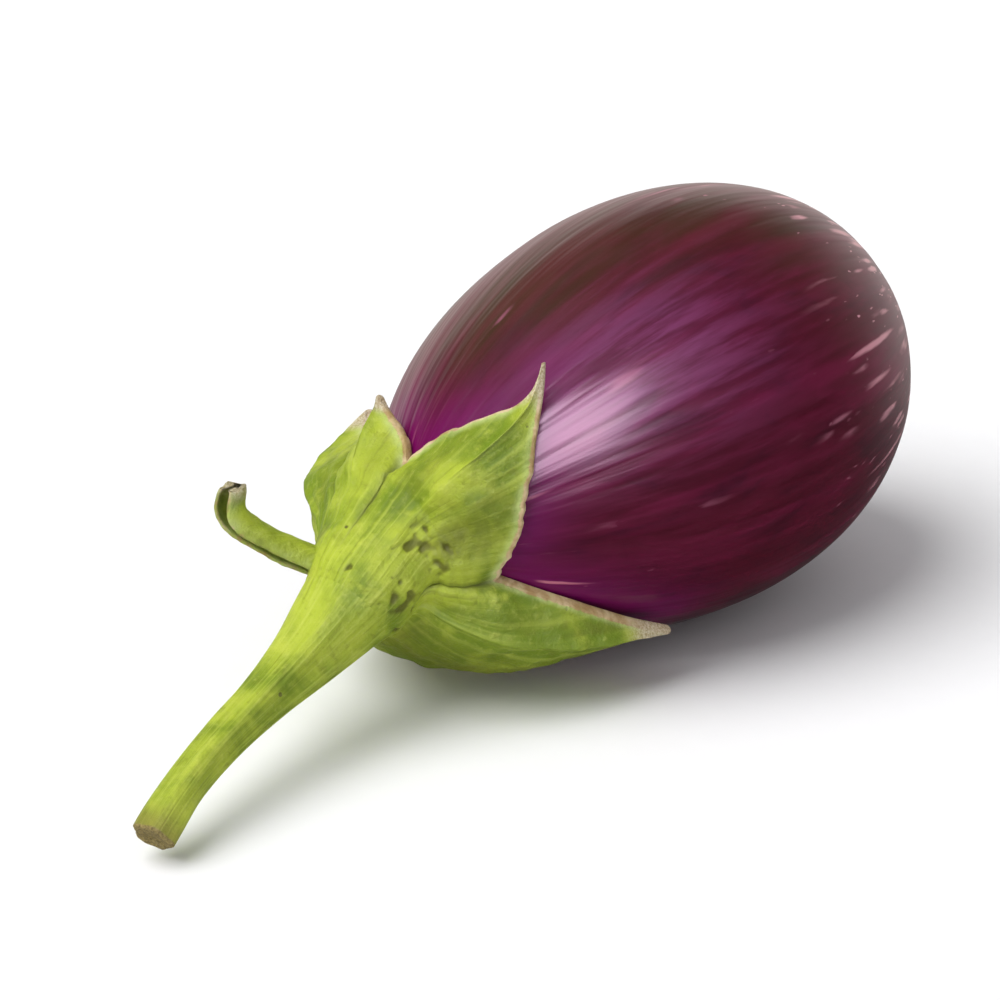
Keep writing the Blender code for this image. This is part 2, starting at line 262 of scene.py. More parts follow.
def tinted(tree, share, under, over):
    """One colour laid over another by a share."""
    values = {0: share, 6: under, 7: over}
    return put(tree, "ShaderNodeMix", values, data_type="RGBA").outputs[2]


def stretched(tree, way, sizes, place=(0, 0, 0)):
    values = {"Vector": way, "Scale": sizes, "Location": place}
    return put(tree, "ShaderNodeMapping", values).outputs[0]


def clouds(tree, way, scale, detail=3.0, rough=0.55, warp=0.0):
    values = {"Vector": way, "Scale": scale, "Detail": detail, "Roughness": rough, "Distortion": warp}
    return put(tree, "ShaderNodeTexNoise", values).outputs[0]


def dashes(tree, way, sizes, place, thick, density):
    """Scattered strokes along the fruit: stretched cells, each drawn or left out by its own chance."""
    spots = put(tree, "ShaderNodeTexVoronoi", {"Vector": stretched(tree, way, sizes, place), "Scale": 1.0})
    chance = put(tree, "ShaderNodeSeparateColor", {0: spots.outputs["Color"]}).outputs[0]
    drawn = spread(tree, maths(tree, "SUBTRACT", density, chance), 0.0, 0.12)
    stroke = spread(tree, spots.outputs["Distance"], thick, thick * 0.35)
    return times(tree, stroke, drawn)


DEEP_PURPLE = (0.066, 0.0009, 0.0095, 1)
PURPLE = (0.098, 0.0014, 0.0165, 1)
ROSY_PURPLE = (0.172, 0.0038, 0.044, 1)
DARK_BLOTCH = (0.034, 0.0010, 0.008, 1)
LIGHT_BLOTCH = (0.158, 0.0038, 0.038, 1)
# Colours of the painted reflection on the top side.
TOP_REFLECTION_OLIVE = (0.046, 0.028, 0.008, 1)
TOP_REFLECTION_RED = (0.086, 0.024, 0.018, 1)
HIGHLIGHT_LILAC = (0.330, 0.085, 0.270, 1)
VIVID_PURPLE = (0.175, 0.0015, 0.105, 1)
ROSE_DASH = (0.46, 0.140, 0.230, 1)
PALE_DASH = (0.76, 0.42, 0.42, 1)
NOTCH_DASH = (0.60, 0.190, 0.260, 1)
CREAM = (0.90, 0.80, 0.55, 1)
GREENISH_CREAM = (0.70, 0.66, 0.30, 1)
PINKISH_CREAM = (0.90, 0.68, 0.66, 1)
RAY_PINK = (0.78, 0.36, 0.46, 1)
DARK_CORK = (0.20, 0.095, 0.028, 1)
LIGHT_CORK = (0.56, 0.34, 0.12, 1)
RAY_SHORTEST = 0.0048
RAY_LONGEST = 0.0165
RAY_FADE = 0.0016

skin = bpy.data.materials.new("purple_waxy_skin")
skin.use_nodes = True
tree = skin.node_tree
shader = tree.nodes["Principled BSDF"]
grown = stored(tree, "grown", "Vector")
wobble_way = stretched(tree, grown, (26, 26, 9))
wobble = put(tree, "ShaderNodeTexNoise", {"Vector": wobble_way, "Scale": 1.0, "Detail": 2.0}).outputs["Color"]
wobbled = moved(tree, "MULTIPLY", moved(tree, "SUBTRACT", wobble, (0.5, 0.5, 0.5)), (0.022, 0.022, 0.10))
ragged = moved(tree, "ADD", grown, wobbled)

streak_way = stretched(tree, grown, (9, 9, 1.3))
fine_streaks = clouds(tree, streak_way, 1.5, 4.0, 0.60)
soft_streaks = clouds(tree, stretched(tree, grown, (5.5, 5.5, 1.0), (4, 1, 0)), 1.3, 3.0, 0.5, 0.3)
patches = clouds(tree, stretched(tree, grown, (1, 1, 0.8), (7, 3, 2)), 2.2, 3.0)
blotches = clouds(tree, stretched(tree, grown, (2.6, 2.6, 1.6), (1, 5, 3)), 1.6, 4.0, 0.62, 0.6)
shade_of_calyx = stored(tree, "by_calyx")

colour = tinted(tree, spread(tree, fine_streaks, 0.28, 0.75), DEEP_PURPLE, PURPLE)
rosy = times(tree, spread(tree, soft_streaks, 0.46, 0.70), spread(tree, patches, 0.35, 0.62, 0.35, 0.95))
colour = tinted(tree, times(tree, rosy, 0.55), colour, ROSY_PURPLE)
colour = tinted(tree, spread(tree, blotches, 0.50, 0.30, 0, 0.6), colour, DARK_BLOTCH)
colour = tinted(tree, spread(tree, blotches, 0.52, 0.72, 0, 0.5), colour, LIGHT_BLOTCH)
# Painted reflection: the top side tinted olive-brown and reddish where the overhead light would reflect,
# weaker by the calyx.
top_reflection_share = times(tree, stored(tree, "painted_top_reflection"), spread(tree, patches, 0.28, 0.60, 0.45, 1.0))
top_reflection_share = times(tree, top_reflection_share, spread(tree, shade_of_calyx, 0.1, 0.8, 1.0, 0.2))
top_reflection_colour = tinted(tree, spread(tree, soft_streaks, 0.35, 0.62), TOP_REFLECTION_OLIVE, TOP_REFLECTION_RED)
colour = tinted(tree, top_reflection_share, colour, top_reflection_colour)
# Painted highlight: lilac streaks laid where the softbox gloss falls.
painted_highlight_share = times(tree, stored(tree, "painted_highlight_patch"), spread(tree, fine_streaks, 0.38, 0.62, 0.25, 1.0))
colour = tinted(tree, times(tree, painted_highlight_share, 0.46), colour, HIGHLIGHT_LILAC)
vivid = times(tree, shade_of_calyx, spread(tree, fine_streaks, 0.25, 0.55, 0.65, 1.0))
colour = tinted(tree, vivid, colour, VIVID_PURPLE)

polar = put(tree, "ShaderNodeSeparateXYZ", {0: grown}).outputs["Z"]
near_end = spread(tree, polar, 1.45, 2.75)
few = plus(tree, times(tree, spread(tree, patches, 0.42, 0.62), 0.08), 0.01)
density = plus(tree, few, times(tree, near_end, spread(tree, patches, 0.30, 0.60, 0.45, 0.80)))
by_notch = stored(tree, "from_notch")
long_density = plus(tree, times(tree, density, 0.7), times(tree, shade_of_calyx, 0.16))
long_density = plus(tree, long_density, times(tree, by_notch, 0.75))
broad_marks = dashes(tree, ragged, (8.5, 8.5, 2.6), (0.3, 0.8, 0.1), 0.36, times(tree, density, 1.15))
short_marks = dashes(tree, ragged, (14, 14, 4.6), (5.1, 2.2, 0.7), 0.36, times(tree, density, 0.8))
long_marks = dashes(tree, ragged, (19, 19, 1.7), (2.7, 4.4, 0.9), 0.38, long_density)
specks = dashes(tree, ragged, (34, 34, 19), (1.4, 6.2, 3.3), 0.30, times(tree, density, 0.4))
marks = maths(tree, "MAXIMUM", broad_marks, short_marks)
marks = maths(tree, "MAXIMUM", marks, maths(tree, "MAXIMUM", long_marks, specks))
marks = times(tree, marks, spread(tree, fine_streaks, 0.22, 0.50, 0.45, 1.0))
mark_colour = tinted(tree, by_notch, tinted(tree, near_end, ROSE_DASH, PALE_DASH), NOTCH_DASH)
colour = tinted(tree, times(tree, marks, 0.88), colour, mark_colour)

to_blossom = stored(tree, "from_blossom")
rays = clouds(tree, stretched(tree, grown, (4.6, 4.6, 0.6), (2, 9, 4)), 1.0, 6.0, 0.68, 0.3)
reach = spread(tree, rays, 0.34, 0.72, RAY_SHORTEST, RAY_LONGEST)
in_ray = maths(tree, "DIVIDE", maths(tree, "SUBTRACT", reach, to_blossom), RAY_FADE)
ray_colour = tinted(tree, spread(tree, blotches, 0.35, 0.65), CREAM, GREENISH_CREAM)
ray_colour = tinted(tree, spread(tree, to_blossom, 0.0050, 0.0085), ray_colour, PINKISH_CREAM)
ray_colour = tinted(tree, spread(tree, to_blossom, 0.0090, 0.0150), ray_colour, RAY_PINK)
colour = tinted(tree, spread(tree, in_ray, 0.0, 1.0), colour, ray_colour)
scar = stored(tree, "in_scar")
cork_colour = tinted(tree, spread(tree, stored(tree, "cork"), -0.8, 0.8), DARK_CORK, LIGHT_CORK)
colour = tinted(tree, scar, colour, cork_colour)
tree.links.new(colour, shader.inputs["Base Color"])

gloss = spread(tree, fine_streaks, 0.25, 0.75, 0.275, 0.32)
tree.links.new(plus(tree, gloss, times(tree, scar, 0.45)), shader.inputs["Roughness"])
low_ridges = clouds(tree, streak_way, 1.5, 1.5, 0.5)
pores = clouds(tree, put(tree, "ShaderNodeTexCoord", {}).outputs["Object"], 900.0, 1.0)
relief = plus(tree, low_ridges, times(tree, pores, 0.015))
bumps = put(tree, "ShaderNodeBump", {"Strength": 0.60, "Distance": 0.00030, "Height": relief})
tree.links.new(bumps.outputs[0], shader.inputs["Normal"])
shader.inputs["IOR"].default_value = 1.45
shader.inputs["Specular Tint"].default_value = (1.0, 0.76, 0.96, 1)
fruit.data.materials.append(skin)
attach(fruit, "root")
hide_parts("fruit")


# The stem: the woody green stalk that the fruit hung from, thick at the calyx and thinner towards its end.
# Five low ridges run along it. It was cut across, and the cut has dried brown.

NECK = np.array([-HALF_LENGTH, 0, 0]) + [-0.0105, -0.0012, -0.0041]
NECK_WAY = np.array(Vector((-0.88, -0.10, -0.42)).normalized())
NECK_RADIUS = 0.0058
STEM_REACH = np.array([-0.0380, -0.0094, -0.0088])
STEM_END_WAY = np.array(Vector((-0.84, -0.26, -0.44)).normalized())
STEM_PULL = 0.026
STEM_WAIST = 0.0022
STEM_END_RADIUS = 0.00235
STEM_TAPER = 0.38
STEM_RIDGE = 0.06
STEM_SWELLING = 0.00016
STEM_LINES = 0.00007
STEM_LINE_REACH = 3.2
STEM_ROOT = -0.06
STEM_SIDES = 120
STEM_RINGS = 190
LOBE_SIDES = np.radians([122, 52, -36, -134, -188])
CUT_RINGS = (0.97, 0.90, 0.78, 0.62, 0.45, 0.28, 0.12)
CUT_HOLLOW = 0.00030
CUT_LIP = 0.00022
CUT_FIBRES = 0.00012


def stem_line(share):
    """Points along the middle of the stem, with its direction there. Below 0 they run on into the calyx."""
    share = np.asarray(share, float)[..., None]
    left = 1 - share
    end = NECK + STEM_REACH
    near = NECK + NECK_WAY * STEM_PULL * 0.5
    far = end - STEM_END_WAY * STEM_PULL * 0.5
    point = NECK * left**3 + near * (3 * share * left**2) + far * (3 * share**2 * left) + end * share**3
    run = (near - NECK) * left**2 + (far - near) * (2 * share * left) + (end - far) * share**2
    return point, run / np.linalg.norm(run, axis=-1, keepdims=True)


def round_about(direction, turn):
    """The direction away from a line, at a turn round it that is measured as the sides are."""
    level = side_way(0.0)
    across = level - direction * (direction @ level)[..., None]
    across = across / np.linalg.norm(across, axis=-1, keepdims=True)
    upward = np.cross(direction, across)
    upward = upward * np.where(upward[..., 2:] < 0, -1, 1)
    return across * np.cos(turn)[..., None] + upward * np.sin(turn)[..., None]


def stem_radius(share, turn):
    into = np.clip(share, 0, 1)
    shrink = np.exp(-into / STEM_TAPER * (1 + into))
    radius = STEM_WAIST + (NECK_RADIUS - STEM_WAIST) * shrink
    radius = radius + (STEM_END_RADIUS - STEM_WAIST) * ease((share - 0.8) / 0.2)
    ridge = STEM_RIDGE * ease(share / 0.15)
    return radius * (1 + ridge * np.cos(5 * (turn - LOBE_SIDES[1])))


def on_stem(share, turn, scale=1.0):
    """Points on the stem's surface, with its small swellings and lengthwise lines."""
    share, turn = np.broadcast_arrays(share, turn)
    centre, direction = stem_line(share)
    out = round_about(direction, turn)
    radius = stem_radius(share, turn) * scale
    round_stem = wrapped(turn, share * STEM_LINE_REACH)
    swelling = STEM_SWELLING * uneven(round_stem, 0.55, 11)
    lines = STEM_LINES * uneven(round_stem * [1, 1, 0.16], 0.20, 12)
    return centre + out * (radius + (swelling + lines) * ease(share / 0.12 + 0.4))[..., None]


stem_share = np.linspace(STEM_ROOT, 1, STEM_RINGS)[:, None]
stem_turn = (2 * np.pi * np.arange(STEM_SIDES) / STEM_SIDES)[None, :]
tuck = 1 - 0.10 * ease((0.012 - stem_share) / 0.05)
stem_rings = on_stem(stem_share, stem_turn, tuck)
end_centre, end_way = stem_line(1.0)
cut_rings = []
for cut_share in CUT_RINGS:
    shrunk = end_centre + (stem_rings[-1] - end_centre) * cut_share
    fibres = uneven(shrunk, 0.0006, 13) * CUT_FIBRES + uneven(shrunk, 0.0012, 14) * CUT_FIBRES
    bowl = CUT_HOLLOW * (1 - cut_share) - CUT_LIP * ease((1 - cut_share) / 0.1)
    cut_rings.append(shrunk - end_way * (bowl + fibres * ease((1 - cut_share) / 0.2))[:, None])
stem_rings = np.concatenate([stem_rings, np.stack(cut_rings)])
stem_start = stem_line(STEM_ROOT)[0]
stem_stop = end_centre - end_way * CUT_HOLLOW
stem = grown_piece("stem", laid_down(stem_rings), laid_down(stem_start), laid_down(stem_stop))
cut_face = np.zeros(stem_rings.shape[:2])
cut_face[STEM_RINGS - 1:] = 1
stem_along = np.concatenate([stem_share[:, 0], np.ones(len(CUT_RINGS))])[:, None] + 0 * stem_turn
mark(stem, "cut_face", cut_face, 0, 1)
mark(stem, "along", stem_along, 0, 1)
mark(stem, "lines", wrapped(stem_turn, stem_along * STEM_LINE_REACH), (1, 0, 0), (1, 0, STEM_LINE_REACH))

DEEP_GREEN = (0.155, 0.240, 0.008, 1)
YELLOW_GREEN = (0.420, 0.505, 0.038, 1)
LIGHT_MOTTLE = (0.520, 0.580, 0.070, 1)
DARK_MOTTLE = (0.165, 0.200, 0.012, 1)
PALE_GRAIN = (0.57, 0.61, 0.13, 1)
DARK_GRAIN = (0.135, 0.155, 0.010, 1)
DOT_BROWN = (0.085, 0.075, 0.018, 1)
STEM_PALE_LINE = (0.54, 0.61, 0.10, 1)
STEM_DARK_LINE = (0.16, 0.19, 0.012, 1)
STEM_END_OLIVE = (0.24, 0.20, 0.040, 1)
DARK_CUT = (0.14, 0.100, 0.030, 1)
LIGHT_CUT = (0.38, 0.30, 0.11, 1)


def green_flesh(name):
    """The yellow-green rind that the stem and calyx share: mottled, finely grained, with a few dark dots."""
    material = bpy.data.materials.new(name)
    material.use_nodes = True
    tree = material.node_tree
    shader = tree.nodes["Principled BSDF"]
    place_on = put(tree, "ShaderNodeTexCoord", {}).outputs["Object"]
    broad = clouds(tree, place_on, 105.0, 3.0, 0.55, 0.5)
    mottle = clouds(tree, place_on, 290.0, 4.0, 0.6, 0.4)
    small = clouds(tree, place_on, 1100.0, 4.0, 0.6)
    grain = clouds(tree, place_on, 3600.0, 3.0, 0.6)
    colour = tinted(tree, spread(tree, broad, 0.36, 0.66), DEEP_GREEN, YELLOW_GREEN)
    colour = tinted(tree, spread(tree, mottle, 0.52, 0.74, 0, 0.6), colour, LIGHT_MOTTLE)
    colour = tinted(tree, spread(tree, mottle, 0.46, 0.28, 0, 0.6), colour, DARK_MOTTLE)
    colour = tinted(tree, spread(tree, small, 0.52, 0.80, 0, 0.35), colour, PALE_GRAIN)
    colour = tinted(tree, spread(tree, small, 0.44, 0.24, 0, 0.35), colour, DARK_GRAIN)
    dots = put(tree, "ShaderNodeTexVoronoi", {"Vector": place_on, "Scale": 420.0})
    dot_chance = put(tree, "ShaderNodeSeparateColor", {0: dots.outputs["Color"]}).outputs[0]
    dot_size = spread(tree, dot_chance, 0.80, 1.0, 0.0, 0.17)
    dot = spread(tree, maths(tree, "SUBTRACT", dot_size, dots.outputs["Distance"]), 0.0, 0.05)
    colour = tinted(tree, times(tree, dot, 0.8), colour, DOT_BROWN)
    height = plus(tree, times(tree, small, 1.0), times(tree, grain, 0.35))
    height = maths(tree, "SUBTRACT", height, times(tree, dot, 0.5))
    shader.inputs["IOR"].default_value = 1.38
    shader.inputs["Specular IOR Level"].default_value = 0.28
    shader.inputs["Sheen Weight"].default_value = 0.03
    shader.inputs["Sheen Roughness"].default_value = 0.45
    shader.inputs["Sheen Tint"].default_value = (0.93, 0.98, 0.75, 1)
    return material, colour, height, {"mottle": mottle, "small": small, "grain": grain}


def finish_flesh(material, colour, height, grain, strength, distance, roughness):
    """Joins a green rind's colour, relief and roughness to its shader."""
    tree = material.node_tree
    shader = tree.nodes["Principled BSDF"]
    tree.links.new(colour, shader.inputs["Base Color"])
    bumps = put(tree, "ShaderNodeBump", {"Strength": strength, "Distance": distance, "Height": height})
    tree.links.new(bumps.outputs[0], shader.inputs["Normal"])
    tree.links.new(spread(tree, grain, 0.3, 0.7, *roughness), shader.inputs["Roughness"])


stem_rind, colour, height, pattern = green_flesh("green_stem_rind")
tree = stem_rind.node_tree
lines = clouds(tree, stretched(tree, stored(tree, "lines", "Vector"), (6.5, 6.5, 0.7)), 1.5, 4.0, 0.6)
colour = tinted(tree, spread(tree, lines, 0.42, 0.72, 0, 0.5), colour, STEM_PALE_LINE)
colour = tinted(tree, spread(tree, lines, 0.44, 0.24, 0, 0.6), colour, STEM_DARK_LINE)
by_cut = spread(tree, stored(tree, "along"), 0.90, 1.0)
colour = tinted(tree, times(tree, by_cut, 0.65), colour, STEM_END_OLIVE)
dried = tinted(tree, spread(tree, pattern["grain"], 0.3, 0.7), DARK_CUT, LIGHT_CUT)
colour = tinted(tree, stored(tree, "cut_face"), colour, dried)
height = plus(tree, height, times(tree, lines, 1.1))
finish_flesh(stem_rind, colour, height, pattern["grain"], 0.55, 0.00030, (0.46, 0.62))
stem.data.materials.append(stem_rind)
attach(stem, "root")
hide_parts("stem")


# The calyx: the leathery green cap that grew round the flower and stays on the fruit as five pointed lobes.
# It is thick where it runs up into the stem, and its thin edges have dried to a pale pinkish line.
# The lobes hug the skin, with low folds, creases and a few small pits, and their thin dry tips curl away.

LOBE_REACHES = np.radians([35, 54, 67, 52, 50])
LOBE_CURLS = np.array([0.0026, 0.0020, 0.0016, 0.0020, 0.0018])
LOBE_BENDS = np.radians([0, 12, -3, 6, -5])
LOBE_FOLDS = np.array([0.0005, 0.0012, 0.0010, 0.0006, 0.0006])
LOBE_HOLLOWS = np.array([0.0002, 0.0006, 0.0004, 0.0003, 0.0003])
LOBE_FLARES = np.array([0, 0, 0.0010, 0, 0])
# How strongly each lobe's far and near flank is tinted olive as painted shade.
FAR_FLANK_PAINTED_SHADE = np.array([0.4, 1.0, 1.0, 0.6, 0.4])
NEAR_FLANK_PAINTED_SHADE = np.array([0, 0.55, 0.35, 0.2, 0.2])
NEAR_FULLNESS = np.array([1.6, 0.9, 1.1, 1.5, 1.4])
FAR_FULLNESS = np.array([1.5, 0.62, 1.5, 1.3, 1.6])
NOTCH_SIDES = np.radians([150, 96, -18, -106, -160])
NOTCH_REACHES = np.radians([24, 20, 27, 33, 28])
TIP_CROWDING = 1.6
DRY_TIP_SHARE = 0.18
DRY_TIP_WIDTH = 0.07
EDGE_NIBBLES = np.radians(0.75)
SHOULDER = math.radians(17)
BASE_THICKNESS = 0.0060
BASE_SWELL = 0.0025
FAT_SIDE_FULLNESS = 1.8
CHIN_SWELL = 0.0016
CHIN_SIDE = math.radians(-100)
CHIN_WIDTH = math.radians(38)
THIN_SIDE = math.radians(50)
EDGE_THICKNESS = 0.0010
SKIN_GAP = 0.00012
RIB_HEIGHT = 0.00030
NOTCH_GROOVE = 0.00060
NOTCH_CREASE = 0.00035
SIDE_VEIN_HEIGHT = 0.00009
EDGE_BEAD = 0.00022
PLEAT_HEIGHT = 0.00020
COLLAR_REACH = 0.055
COLLAR_SCALE = 1.012
FLARE_SPREAD = 0.70
FLARE_PULL = 0.0082
# Each lump: height, size and seed.
LUMPS = [(0.00036, 0.0042, 24), (0.00017, 0.0019, 25), (0.00005, 0.0008, 26)]
# Each pit: side in degrees, way down the calyx, length and slant in degrees.
CALYX_PITS = [
    (33, 0.63, 0.0011, 70), (35, 0.84, 0.0009, 20), (22, 0.76, 0.0006, 100), (12, 0.20, 0.0010, 120),
    (-4, 0.30, 0.0013, 105), (0, 0.98, 0.0012, 35), (-38, 0.12, 0.0008, 60), (72, 0.14, 0.0006, 80),
    (14, 1.05, 0.0007, 40), (-28, 0.46, 0.0007, 20), (150, 0.55, 0.0009, 30), (-120, 0.50, 0.0011, 60),
    (-150, 0.80, 0.0008, 110), (-95, 0.90, 0.0008, 10), (-170, 0.30, 0.0010, 80),
]
PIT_DEPTH = 0.00035
PIT_NARROWNESS = 2.3
DRY_EDGE_WIDTH = 0.00042
DRY_UNDERSIDE_WIDTH = 0.0009
SHADE_REACH = 0.0042
LOBE_COLUMNS = 96
COLLAR_ROWS = 8
FLARE_ROWS = 40
LOBE_ROWS = 84
RIM_ROWS = 6
UNDER_ROWS = 12

column = np.arange(LOBE_COLUMNS * 5)
lobe = column // LOBE_COLUMNS
even = 2 * (column % LOBE_COLUMNS) / LOBE_COLUMNS - 1
across = np.sign(even) * np.abs(even) ** TIP_CROWDING
to_notch = 1 - np.abs(across)
notch = np.where(across < 0, lobe, (lobe + 1) % 5)
notch_side = NOTCH_SIDES[notch] - np.where((lobe == 4) & (across >= 0), 2 * np.pi, 0)
lobe_side = LOBE_SIDES[lobe] + np.abs(across) * (notch_side - LOBE_SIDES[lobe])
fullness = np.where(across < 0, NEAR_FULLNESS[lobe], FAR_FULLNESS[lobe])
blade = (1 - DRY_TIP_SHARE) * (1 - np.abs(across) ** fullness)
thread = DRY_TIP_SHARE * np.exp(-np.abs(across) / DRY_TIP_WIDTH) * to_notch
edge = NOTCH_REACHES[notch] + (LOBE_REACHES[lobe] - NOTCH_REACHES[notch]) * (blade + thread)
round_lobe = wrapped(lobe_side, 0.0)
nibbled = uneven(round_lobe, 0.12, 21) + 0.6 * uneven(round_lobe, 0.05, 22)
edge = edge + EDGE_NIBBLES * nibbled * ease(np.abs(across) / 0.25)


def down_lobe(polar):
    """How far down its lobe a point is, from 0 at the shoulder to 1 at the tip."""
    return np.maximum(polar - SHOULDER, 0) / (LOBE_REACHES[lobe] - SHOULDER)


def past_notch(polar):
    """How far past the notch beside it a point is, from 0 at the notch to 1 at the tip."""
    return (polar - NOTCH_REACHES[notch]) / (LOBE_REACHES[lobe] - NOTCH_REACHES[notch])


def lobe_stands_off(polar):
    """How far a lobe stands off the skin: its tip curls away, and one lobe flares along its far flank."""
    share = down_lobe(polar)
    curl = LOBE_CURLS[lobe] * share**3 * (1 - across**2)
    far_flank = np.maximum(across, 0) ** 2
    return curl + LOBE_FLARES[lobe] * 4 * far_flank * (1 - far_flank) * np.minimum(share * 2, 1) ** 2


def swung(polar):
    """The side that a point is at, with its lobe's tip bent sideways."""
    return lobe_side + LOBE_BENDS[lobe] * down_lobe(polar)**5


def leaf_height(share):
    """How thick the calyx is at this share of the way from its shoulder to its edge."""
    base = BASE_THICKNESS - BASE_SWELL * np.cos(lobe_side - THIN_SIDE)
    off_chin = np.arctan2(np.sin(lobe_side - CHIN_SIDE), np.cos(lobe_side - CHIN_SIDE))
    base = base + CHIN_SWELL * peak(off_chin, 0, CHIN_WIDTH)
    fat_side = (1 - np.cos(lobe_side - THIN_SIDE)) / 2
    left = 1 - share
    height = EDGE_THICKNESS + (base - EDGE_THICKNESS) * (1 - share ** (1 + FAT_SIDE_FULLNESS * fat_side))
    height = height + RIB_HEIGHT * peak(across, 0, 0.10) * left
    along_lobe = np.sin(np.pi * np.clip(share, 0, 1) ** 0.8)
    fold = np.maximum(1 - np.abs(across) / 0.60, 0) ** 1.3
    hollow = peak(across, 0.52, 0.26) + 0.4 * peak(across, -0.55, 0.26)
    height = height + (LOBE_FOLDS[lobe] * fold - LOBE_HOLLOWS[lobe] * hollow) * along_lobe
    height = height - NOTCH_GROOVE * peak(to_notch, 0, 0.18) * left
    height = height - NOTCH_CREASE * peak(to_notch, 0, 0.045) * np.minimum(left * 2, 1)
    side_veins = np.cos(2 * np.pi * (share * 3.6 - np.abs(across) * 1.5))
    height = height + SIDE_VEIN_HEIGHT * side_veins * ease(share / 0.2) * left * ease(np.abs(across) / 0.15)
    height = height + EDGE_BEAD * peak(left, 0, 0.10)
    pleats = uneven(round_lobe + [0, 0, 5], 0.085, 23)
    return height + PLEAT_HEIGHT * pleats * left**2


neck_out = round_about(np.broadcast_to(NECK_WAY, (len(column), 3)), lobe_side)
collar_share = np.linspace(COLLAR_REACH, 0.0, COLLAR_ROWS, endpoint=False)[:, None]
collar_scale = COLLAR_SCALE - 0.075 * ease((collar_share - 0.010) / 0.045)
collar = on_stem(collar_share, lobe_side[None, :], collar_scale)
flare_share = np.linspace(0, 1, FLARE_ROWS, endpoint=False)[:, None]
flare_start = on_stem(0.0, lobe_side, COLLAR_SCALE)
flare_end = on_skin(SHOULDER, lobe_side, SKIN_GAP + leaf_height(0.0))
beyond = on_skin(SHOULDER + 0.01, lobe_side, SKIN_GAP + leaf_height(0.0)) - flare_end
start_pull = neck_out * FLARE_SPREAD - NECK_WAY
start_pull = start_pull / np.linalg.norm(start_pull, axis=-1, keepdims=True) * FLARE_PULL
end_pull = beyond / np.linalg.norm(beyond, axis=-1, keepdims=True) * FLARE_PULL
done = flare_share[..., None]
left = 1 - done
flare = flare_start * (left**2 * (1 + 2 * done)) + flare_end * (done**2 * (3 - 2 * done))
flare = flare + start_pull * (done * left**2) - end_pull * (done**2 * left)

blade_share = np.linspace(0, 1, LOBE_ROWS)[:, None]
blade_polar = SHOULDER + (edge - SHOULDER) * blade_share
blade_lift = SKIN_GAP + leaf_height(blade_share) + lobe_stands_off(blade_polar)
outer = on_skin(blade_polar, swung(blade_polar), blade_lift)
rim_turn = np.linspace(0, np.pi, RIM_ROWS + 2)[1:-1, None]
rim_thick = blade_lift[-1] - SKIN_GAP - lobe_stands_off(edge)
rim_polar = edge + np.sin(rim_turn) * rim_thick * 0.45 / HALF_LENGTH
rim_lift = SKIN_GAP + lobe_stands_off(edge) + rim_thick * (1 + np.cos(rim_turn)) / 2
rim = on_skin(rim_polar, swung(rim_polar * 0 + edge), rim_lift)
under_share = np.linspace(1, 0, UNDER_ROWS, endpoint=False)[:, None]
under_polar = edge * under_share
under = on_skin(under_polar, swung(under_polar), SKIN_GAP + lobe_stands_off(under_polar))
calyx_rings = np.concatenate([collar, flare, outer, rim, under])

blank = np.zeros((len(calyx_rings), len(column)))
first_blade = COLLAR_ROWS + FLARE_ROWS
first_rim = first_blade + LOBE_ROWS
first_under = first_rim + RIM_ROWS
# The way down the calyx is below 0 on the collar, 0 to 1 on the flare and 1 to 2 on the lobes.
way_down = np.concatenate([-collar_share[:, 0], flare_share[:, 0], 1 + blade_share[:, 0]])
bumpiness = blank[:, :1].copy()
bumpiness[COLLAR_ROWS:first_blade] = ease(flare_share * 2.0)
bumpiness[first_blade:first_rim] = 1 - 0.55 * ease((blade_share - 0.7) / 0.3)
along_row = np.gradient(calyx_rings, axis=0)
along_column = (np.roll(calyx_rings, -1, axis=1) - np.roll(calyx_rings, 1, axis=1)) / 2
face_way = np.cross(along_column, along_row)
face_way /= np.maximum(np.linalg.norm(face_way, axis=-1, keepdims=True), 1e-12)
tried_row = 5
tried_polar = blade_polar[tried_row]
outward = calyx_rings[first_blade + tried_row] - on_skin(tried_polar, swung(tried_polar), 0)
if np.einsum("ij,ij->i", face_way[first_blade + tried_row], outward).sum() < 0:
    face_way = -face_way
lumps = sum(height * uneven(calyx_rings, size, seed) for height, size, seed in LUMPS)
# The pits are pressed in as dents here, and the same mark darkens them in the finish as painted shade.
pit_dents_and_shade = blank.copy()
for pit_side, pit_way_down, pit_length, pit_slant in CALYX_PITS:
    row = np.argmin(np.abs(way_down - pit_way_down))
    spot = np.argmin(np.abs(np.angle(np.exp(1j * (lobe_side - math.radians(pit_side))))))
    sideways = calyx_rings[row, (spot + 1) % len(column)] - calyx_rings[row, spot]
    downways = calyx_rings[row + 1, spot] - calyx_rings[row, spot]
    slant = math.radians(pit_slant)
    pit_run = sideways / np.linalg.norm(sideways) * math.cos(slant)
    pit_run = pit_run + downways / np.linalg.norm(downways) * math.sin(slant)
    reach = calyx_rings - calyx_rings[row, spot]
    off_line = np.linalg.norm(reach, axis=-1) ** 2 - (reach @ pit_run) ** 2
    reach = np.sqrt(np.maximum(off_line, 0) * PIT_NARROWNESS**2 + (reach @ pit_run) ** 2)
    reach = reach * (1 + 0.8 * uneven(calyx_rings, 0.0008, 27))
    pit_dents_and_shade = np.maximum(pit_dents_and_shade, peak(reach, 0, pit_length))
pit_dents_and_shade[first_rim:] = 0
calyx_rings = calyx_rings + face_way * (lumps * bumpiness - PIT_DEPTH * pit_dents_and_shade)[..., None]
collar_pole = laid_down(stem_line(COLLAR_REACH)[0])
calyx = grown_piece("calyx", laid_down(calyx_rings), collar_pole, laid_down([-HALF_LENGTH, 0, 0]))

